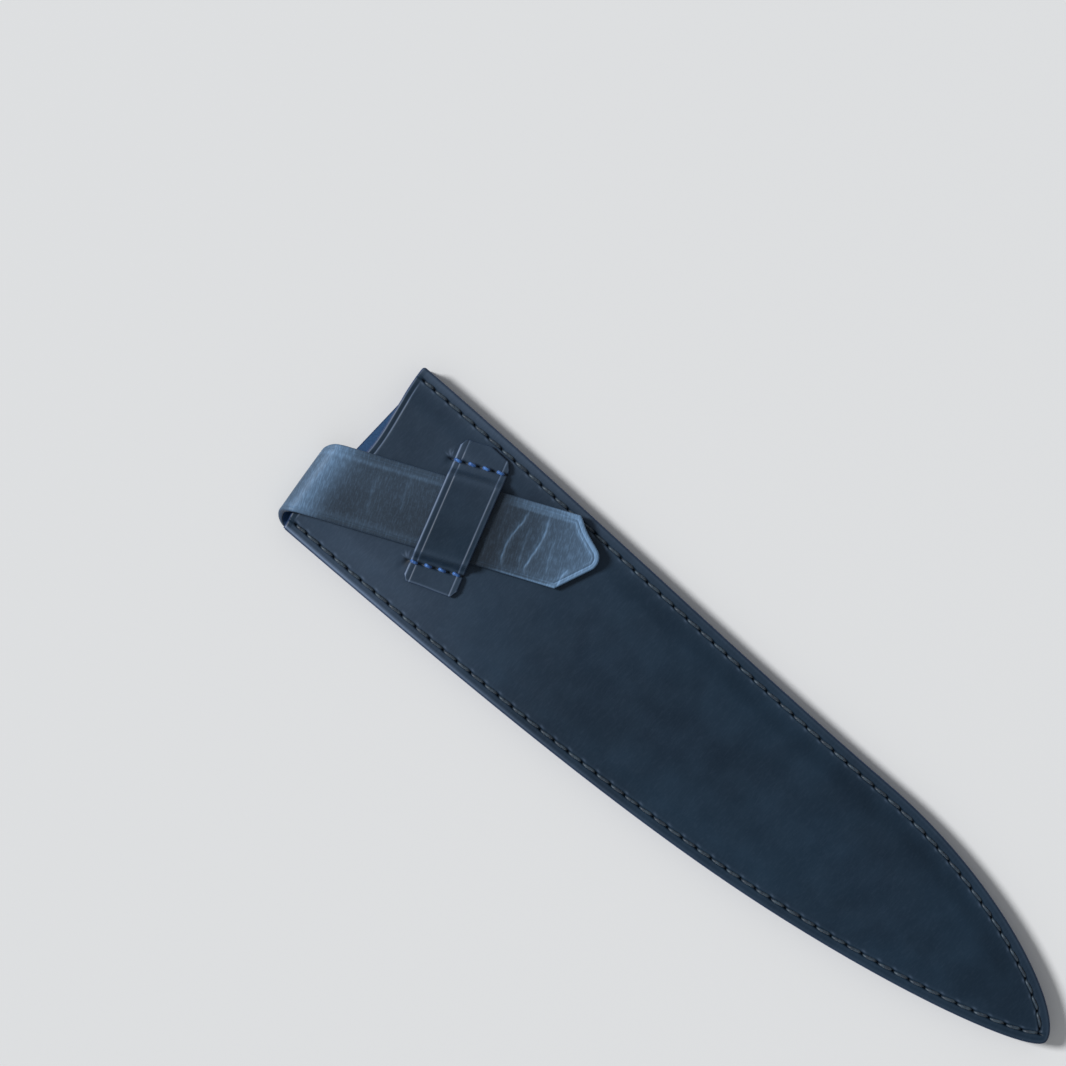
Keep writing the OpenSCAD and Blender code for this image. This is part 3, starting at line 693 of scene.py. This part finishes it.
back_step = 1.5
welt_fade = 20
welt_bulge = 0.14
welt_x = np.concatenate([[0.0], panel_x[18::2], panel_x[-1:]])
level_share = np.linspace(0, 1, 7)
welt_d = np.append(welt_bulge * (2 * level_share - 1) ** 4, [welt_w, welt_w])
welt_z = panel_t + (front_bottom - panel_t) * np.append(level_share, [1.0, 0.0])
for side_name, line, side in (("spine", spine_line, 1), ("edge", edge_line, -1)):
    room = np.minimum(1, 0.5 * width_at(welt_x) / welt_w)[:, None]
    plan = inward(line, side, welt_x[:, None] + 0 * welt_d, welt_d * room)
    plan[..., 0] += back_step * np.clip(1 - plan[..., 0] / welt_fade, 0, None)
    rings = np.dstack([plan, welt_z + 0 * plan[..., 0]])
    edge_mark = np.where(welt_d < 1, 0.9, 0.0) + 0 * plan[..., 0]
    welt = ringed_piece(f"{side_name}_welt_leather", rings, {"edge": edge_mark})
    welt.data.materials.append(panel_leather)
    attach(welt, "root")
    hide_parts(f"{side_name}_welt")

# Back panel
# The flat back of the same hide, straight across the mouth. At the mouth's lower corner it
# runs on into the strap, so it has no cut edge there. The thread lies in a channel along
# its outer face.
strap_t = 2.0
bend_r = strap_top / 2
bend_line = 2.195
crease_spacing = 4.39
bend_length = 4 * crease_spacing
fold_way = np.array([math.cos(fold_lean), math.sin(fold_lean)])
fold_up = np.array([-math.sin(fold_lean), math.cos(fold_lean)])
root_low, root_high = -0.19, 23.5


def on_fold(x, y):
    """Layout place of a point x past the fold line and y along it from the mouth's corner."""
    return fold_corner + np.asarray(x)[..., None] * fold_way + np.asarray(y)[..., None] * fold_up


back_fade = 12
back_shares = np.concatenate([
    np.linspace(0.06, 0.66, 9), np.linspace(0.685, 0.765, 12), [0.8, 0.86, 0.93],
])
back_plan, back_inset = panel_plan(panel_x, panel_rows, back_shares)
joined = 1 - smooth((back_plan[..., 1] - on_fold(bend_line, root_high)[1]) / 1.6)
along_fold = (back_plan[..., 1] + mouth_width - bend_line * fold_way[1]) / fold_up[1]
bend_x = fold_corner[0] + bend_line * fold_way[0] + along_fold * fold_up[0]
mouth_start = back_step + (bend_x - back_step) * joined
mouth_shift = mouth_start * np.clip(1 - back_plan[..., 0] / back_fade, 0, None)
back_xy = back_plan + np.dstack([mouth_shift, 0 * mouth_shift])
back_mouth = panel_x[:, None] * (1 - mouth_start / back_fade) + 4 * joined
back_rim = np.minimum(back_inset, back_mouth)
channel = smooth(1 - np.abs(back_inset - stitch_inset) / 0.75)
back_holes = at_holes(back_xy, aside=0.0, length=0.8, width=0.34)
back_z = rounding(back_rim, burnish_r) + 0.62 * channel + 0.7 * back_holes
back_panel = leather_sheet(
    "back_panel_leather", np.dstack([back_xy, back_z]), np.dstack([back_xy, panel_t + 0 * back_z]),
    {
        "wear_and_painted_light": 0.2 * smooth((2.7 - back_inset) / 0.5) + 0.1 * bell(back_mouth, 8)
        + 0.12 * smooth((waviness(back_xy, 23.0, 2.2) + 0.2) / 1.2),
        "edge": smooth((0.8 - back_rim) / 0.6),
        # Painted shade: the thread channel and awl holes are darkened as if shaded.
        "painted_shade": np.clip(0.35 * channel + 0.95 * back_holes, 0, 1),
    },
)
back_panel.data.materials.append(panel_leather)
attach(back_panel, "root")
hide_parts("back_panel")

# Seam thread
# One saddle stitch in 0.8 mm dark navy waxed thread, 5.5 mm to the stitch, through both
# panels and the welt. It shows on the face and on the back, sunk in its groove, and slants
# from the low end of one slit to the high end of the next.
seam_thread = waxed_thread("navy_linen_thread", colour="#1c2a38", bright="#324350", roughness=0.5)
seam_thread_r = 0.44
seam_slant = 0.28
for face, crest_z, low_z in (("front", front_top - 0.02, front_top - 0.9), ("back", 0.44, 1.2)):
    first = np.vstack([holes[:-1] for holes in seams.values()])
    last = np.vstack([holes[1:] for holes in seams.values()])
    slant = seam_slant * np.column_stack([-np.sin(first[:, 2]), np.cos(first[:, 2])])
    start, end = first[:, :2] - slant, last[:, :2] + slant
    gap = 0.12 * (end - start)
    level = np.zeros(len(first))
    paths = humped(start + gap, end - gap, level + crest_z, level + low_z, level + low_z, steps=13)
    tubes = thread_tubes(paths, seam_thread_r, turns=4.0, around=10)
    stitches = new_piece(f"seam_thread_{face}", *tubes)
    stitches.data.materials.append(seam_thread)
    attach(stitches, "root")
    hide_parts(f"seam_stitches_{face}")

# Strap
# Cut in one with the back panel and paler from handling. It turns up round the mouth's corner
# in a living fold, goes under the keeper and ends in a rounded point. It is built as one length
# of leather in eight stretches that meet where it lies at rest, four of them round the fold.
strap_reach = 90.8
tongue_taper = 10.7
shoulder = strap_reach - tongue_taper
nose_r = 4.5
nose_from = 76
strap_across = strap_turn - fold_lean


def strap_side():
    """The upper side of the strap's outline: level to the shoulder, then slanting to touch the
    rounded nose, as rows of x and y."""
    centre = strap_reach - nose_r
    dx, dy = shoulder - centre, strap_half
    touch = math.atan2(dy, dx) - math.acos(nose_r / math.hypot(dx, dy))
    turn = np.linspace(touch, 0, 160)
    arc = np.stack([centre + nose_r * np.cos(turn), nose_r * np.sin(turn)], -1)
    level = np.stack([np.linspace(-30, shoulder, 400)[:-1], np.full(399, strap_half)], -1)
    return np.vstack([level, np.linspace([shoulder, strap_half], arc[0], 300)[:-1], arc])


def by_hand(x, y):
    """The tongue as it was cut: its upper shoulder lies up to 1.5 mm nearer the nose, by a bell
    of the distance from the shoulder."""
    return x + 1.5 * bell(np.hypot(x - shoulder, y - strap_half), 4.5)


strap_line = strap_side()
bow_start, bow_link = 8.5, 13.0
tip_cut = 45.8
fold_cuts = (bend_line - bend_length * np.array([1, 0.75, 0.5, 0.25, 0])) / math.cos(strap_across)
run_cuts = [bow_start + bow_link * 0.5, bow_start + bow_link * 1.5, tip_cut]
strap_cuts = np.concatenate([fold_cuts, run_cuts])
stations = (13, 13, 13, 13, 40, 40, 56)
nose_zone = 11.5
nose_turn = np.linspace(0, math.pi / 2, 86)[:-1]
strap_s = [
    np.linspace(start, end, count, endpoint=False)
    for start, end, count in zip(strap_cuts, strap_cuts[1:], stations)
]
strap_s.append(np.concatenate([
    np.arange(strap_cuts[-1], strap_reach - nose_zone, 0.25),
    strap_reach - nose_zone * (1 - np.sin(nose_turn)), [strap_reach - short_of_end],
]))
strap_counts = np.cumsum([0] + [len(part) for part in strap_s])
strap_s = np.concatenate(strap_s)
face_d = np.concatenate([
    [0, 0.03, 0.1, 0.2, 0.35, 0.55, 0.8, 1.05], np.arange(1.2, 2.9, 0.12),
    np.arange(3.1, strap_half - 0.1, 0.27),
])
back_d = np.array([0, 0.06, 0.2, 0.4, 0.65, 1.5, 4, 8, strap_half])
ring_d = np.concatenate([face_d, [strap_half], face_d[::-1], back_d, back_d[-2::-1]])
ring_side = np.repeat([-1, 1, 1, 1, -1], [len(face_d), 1, len(face_d), len(back_d), len(back_d) - 1])
on_back = np.arange(len(ring_d)) > 2 * len(face_d)

# The strap drawn flat: rings of points across it, which lean along the fold line near the fold.
half = np.interp(strap_s, *strap_line.T)[:, None]
strap_d = ring_d * half / strap_half
y_flat = ring_side * (half - strap_d)
shear = math.tan(strap_across) * (1 - smooth((strap_s - 3) / 10))[:, None]
x_flat = by_hand(strap_s[:, None] + shear * y_flat, y_flat)
ca, sa = math.cos(strap_across), math.sin(strap_across)
q = x_flat * ca - y_flat * sa
y_fold = strap_middle + x_flat * sa + y_flat * ca

# Within the fold its two sides run over to the root on the back panel.
low_side = strap_middle - strap_half / ca + q * sa / ca
high_side = strap_middle + strap_half / ca + q * sa / ca
root_line = root_low + 0.0908 * (q + bend_length - bend_line)
new_low = low_side + smooth((-q - 5) / 10.4) * (root_line - low_side)
new_high = high_side - 1.8 * smooth(-q / 8)
share = (y_fold - low_side) / (high_side - low_side)
y_fold = np.where(q < 0, new_low + share * (new_high - new_low), y_fold)
nose_outline = np.vstack([strap_line, strap_line * [1, -1]])
nose_outline = nose_outline[nose_outline[:, 0] > nose_from - 4]
nose_outline[:, 0] = by_hand(*nose_outline.T)
strap_flat = np.dstack([x_flat, y_flat])
strap_inset = np.minimum(strap_d, nearest(strap_flat, nose_outline, x_flat > nose_from))


def across_strap(xy, corners):
    """Distance to a curve that runs across the strap, a polynomial of up to the fourth degree
    in y fitted to its corners and made a little uneven, and the share of the way along it, from
    0 to 1."""
    x, y = np.transpose(corners)
    curve = np.polyfit(y, x, min(4, len(x) - 1))
    lean = np.hypot(1, np.polyval(np.polyder(curve), xy[..., 1]))
    gap = np.abs(xy[..., 0] + 0.22 * waviness(xy, 0.55, 0.7) - np.polyval(curve, xy[..., 1])) / lean
    return gap, np.clip((y[0] - xy[..., 1]) / (y[0] - y[-1]), 0, 1)


wrinkles = (
    (0.9, [(66.3, 9.6), (65, 4.8), (62.8, -0.8), (62, -5.3), (62.7, -10.8)]),
    (1, [(72.8, 10.6), (72.6, 5.6), (72.4, 1.3), (71.4, -2.5), (70, -5.1), (69.9, -8), (70.6, -11.6)]),
    (1.1, [(82.8, -4.5), (81.2, -7.5), (80.6, -12)]),
    (0.15, [(60.4, 9.5), (59.3, 2), (60.1, -6)]),
    (0.35, [(76.4, 3), (75.9, -2), (76.6, -9)]),
    (0.3, [(68.2, 5), (67.4, -3), (68, -11)]),
    (0.2, [(57.1, 8), (56.2, 2), (56.5, -10)]),
    (0.2, [(29.5, 9.8), (28.2, 3), (28.8, -4)]),
    (0.2, [(19.2, 8), (18.4, 0), (18.9, -8)]),
)
wrinkle = 0 * strap_inset
beside_wrinkle = 0 * strap_inset
for strength, corners in wrinkles:
    gap, along = across_strap(strap_flat, corners)
    strength = strength * smooth(5 * along) * smooth(5 * (1 - along))
    wrinkle = np.maximum(wrinkle, strength * bell(gap, 0.3))
    beside_wrinkle = np.maximum(beside_wrinkle, strength * bell(gap, 1.3))
border_inset, second_inset, line_width = 1.5, 2.5, 0.22
by_nose = smooth((x_flat - nose_from) / 4)
border_line = bell(strap_inset - border_inset, line_width)
second_line = bell(strap_inset - second_inset, line_width) * by_nose
second_line = second_line * (0.3 + 0.7 * smooth((y_flat + 3) / 5))
swell = 0.07 * waviness(strap_flat, 4.3, 0.9) * smooth(strap_inset / 3)
pressed = 0.13 * border_line + 0.1 * second_line + 0.13 * wrinkle
face_depth = rounding(strap_inset, 0.75) + pressed - swell
depth = np.where(on_back, strap_t - rounding(strap_inset, 0.55), face_depth)

# Past the bend line the flat strap is wound on a half circle, each point at its own depth.
turn = np.pi * np.clip(bend_line - q, 0, None) / bend_length
radius = bend_r - depth
strap_xy = on_fold(np.maximum(q, bend_line) - radius * np.sin(turn), y_fold)
strap_points = np.dstack([strap_xy, bend_r + radius * np.cos(turn)])
along_grid = np.gradient(strap_points, strap_s, axis=0)
around_grid = np.roll(strap_points, -1, axis=1) - np.roll(strap_points, 1, axis=1)
strap_normals = np.cross(along_grid, around_grid)
strap_normals /= np.linalg.norm(strap_normals, axis=-1, keepdims=True)

# The strap's wear and painted light, from 0 to 1: pale at the fold, the nose, the wrinkles and the
# borders, with painted highlights on the fold and on the side that faces the light.
# Partly wear and partly painted highlight: the fold is paler where it is bent, and painted brightest
# where its curve faces the key light.
fold_wear_and_highlight = 0.55 * bell(q - 1.3, np.where(q < 1.3, 3.6, 5.2)) + 0.24 * bell(q + 7, 4)
to_nose = smooth((x_flat - 63) / 25)
# Painted light: the borders are paler on the strap's upper side than on its lower one, which lies in
# shade, and a thin highlight is painted along the tongue's lower rim.
painted_light_upper_side = smooth((y_flat + 2) / 6)
on_run = 1 - smooth((x_flat - 48) / 8)
on_tongue = smooth((x_flat - 56) / 9)
run_border = 0.05 * smooth((4.2 - strap_inset) / 0.8)
run_border = run_border + 0.12 * bell(strap_inset - 2.4 - 0.7 * painted_light_upper_side, 0.6)
tongue_border = (0.06 + 0.2 * painted_light_upper_side) * smooth((3.5 - strap_inset) / 0.8)
painted_lower_rim_highlight = 0.45 * (1 - painted_light_upper_side) * bell(strap_inset - 0.45, 0.3)
nose_rim = 0.38 * smooth((0.8 + 0.9 * by_nose - strap_inset) / 0.4)
strap_wear_and_light = (
    on_run * ((0.5 + 0.5 * painted_light_upper_side) * run_border + 0.04 * painted_light_upper_side)
    + on_tongue * (tongue_border + painted_lower_rim_highlight) + to_nose * (0.36 + 0.22 * border_line + nose_rim)
    + 0.06 * border_line + 0.25 * second_line + 0.42 * wrinkle + 0.1 * beside_wrinkle + fold_wear_and_highlight
)
strap_marks = {
    "wear_and_painted_light": np.where(on_back, 0, strap_wear_and_light),
    # Painted shadow: the strap is darkened where it comes out from under the keeper.
    "painted_shade": np.where(on_back, 0, 0.5 * bell(x_flat - 56.5, 5.5)),
    "edge": (0.75 - 0.4 * to_nose) * smooth((0.3 - strap_inset) / 0.3),
    "flesh": np.where(on_back, smooth((strap_inset - 0.4) / 0.3), 0),
}

# The hide's figure is laid on the flat strap, so it runs on through the fold.
strap_place = np.dstack([x_flat, y_flat, 0 * x_flat + 40]) * MM
strap_leather = pull_up_leather(
    "handled_pull_up_leather", dark="#212c38", light="#2e3c4b", worn_and_lit="#6e8fb2",
    burnished="#2f4058", flesh="#35557c", grained=0.09, place="strap_place", roughness=0.58,
)


def along_strap(x):
    """A point on the strap's middle, x along it, at half its thickness, in the shared frame."""
    return to_frame([*on_strap(x, 0.0), strap_top - strap_t / 2])


def fold_span(step):
    """Start and end of one eighth turn's bend: its chord at half thickness, drawn in by 0.45 mm
    at both ends. The cuts lean, so their inner faces lie 0.38 mm within the chord, and this way
    each whole cut stays with its own body."""
    drawn_in = 0.45
    angle = math.pi * (1 - np.array([step, step + 1]) / 4)
    r = bend_r - strap_t / 2
    start, end = np.column_stack([bend_line - r * np.sin(angle), bend_r + r * np.cos(angle)])
    way = drawn_in * (end - start) / np.linalg.norm(end - start)
    return [to_frame([*on_fold(x, strap_middle), z]) for x, z in (start + way, end - way)]


stretches = (
    ("strap_fold_lower", "root", fold_span(0)),
    ("strap_fold_middle", "strap_fold_lower", fold_span(1)),
    ("strap_fold_upper", "strap_fold_middle", fold_span(2)),
    ("strap_root_run", "strap_fold_upper", fold_span(3)),
    ("strap_run_near", "strap_root_run", [along_strap(6.6), along_strap(10.4)]),
    ("strap_run_far", "strap_run_near", [along_strap(17.2), along_strap(25.8)]),
    ("strap_tongue", "strap_run_far", [along_strap(32.2), along_strap(36.8)]),
    ("strap_tip", "strap_tongue", [along_strap(56.2), along_strap(61.0)]),
)
for k, (node, before, span) in enumerate(stretches):
    part = slice(strap_counts[k], strap_counts[k + 1] + 1)
    marks = {mark: values[part] for mark, values in strap_marks.items()}
    piece = ringed_piece(f"{node}_leather", strap_points[part], marks)
    place = piece.data.attributes.new("strap_place", "FLOAT_VECTOR", "POINT")
    place.data.foreach_set("vector", np.float32(strap_place[part]).ravel())
    piece.data.normals_split_custom_set_from_vertices(strap_normals[part].reshape(-1, 3).tolist())
    piece.data.materials.append(strap_leather)
    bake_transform(piece)
    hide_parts(node)

# Floor, lights and camera
# A plain pale floor in matt paint, one broad soft key from the left, an even fill, and a
# camera straight above that turns the sheath as it lies in the picture. The matt paint takes
# the shadow softly and shows no gloss.
floor_half = 1.6
floor_mesh = bpy.data.meshes.new("floor")
floor_corners = floor_half * np.array([(-1, -1, 0), (1, -1, 0), (1, 1, 0), (-1, 1, 0)])
floor_mesh.from_pydata(floor_corners.tolist(), [], [(0, 1, 2, 3)])
floor = bpy.data.objects.new("floor", floor_mesh)
bpy.context.collection.objects.link(floor)
floor_paint = bpy.data.materials.new("pale_floor_paint")
floor_paint.use_nodes = True
paint_tree = floor_paint.node_tree
paint_tree.nodes.clear()
floor_shader = add(paint_tree, "BsdfPrincipled", {"Base Color": linear("#dfe0e1"), "Roughness": 0.85})
add(paint_tree, "OutputMaterial", {"Surface": floor_shader.outputs["BSDF"]})
floor_mesh.materials.append(floor_paint)

view_turn = math.atan2(0.6756, 0.7373)
key_height = 38
key_from = 160
key = bpy.data.objects.new("key", bpy.data.lights.new("key", "SUN"))
key.data.energy = 3.4
key.data.angle = math.radians(14)
key.rotation_euler = (0, math.radians(90 - key_height), view_turn + math.radians(key_from))
bpy.context.collection.objects.link(key)

world = bpy.data.worlds.new("studio")
bpy.context.scene.world = world
world.use_nodes = True
fill = world.node_tree.nodes["Background"]
fill.inputs["Color"].default_value = (0.96, 0.98, 1.0, 1.0)
fill.inputs["Strength"].default_value = 0.32

camera = bpy.data.objects.new("camera", bpy.data.cameras.new("camera"))
camera_height = 0.75
view_width = 0.326
camera.location = (-0.0783, 0.0168, (front_top + crown_rise) * MM + camera_height)
camera.rotation_euler = (0, 0, view_turn)
camera.data.sensor_width = 36.0
camera.data.lens = camera.data.sensor_width * camera_height / view_width
camera.data.clip_start = 0.01
bpy.context.collection.objects.link(camera)
bpy.context.scene.camera = camera
bpy.context.scene.view_settings.view_transform = "Standard"
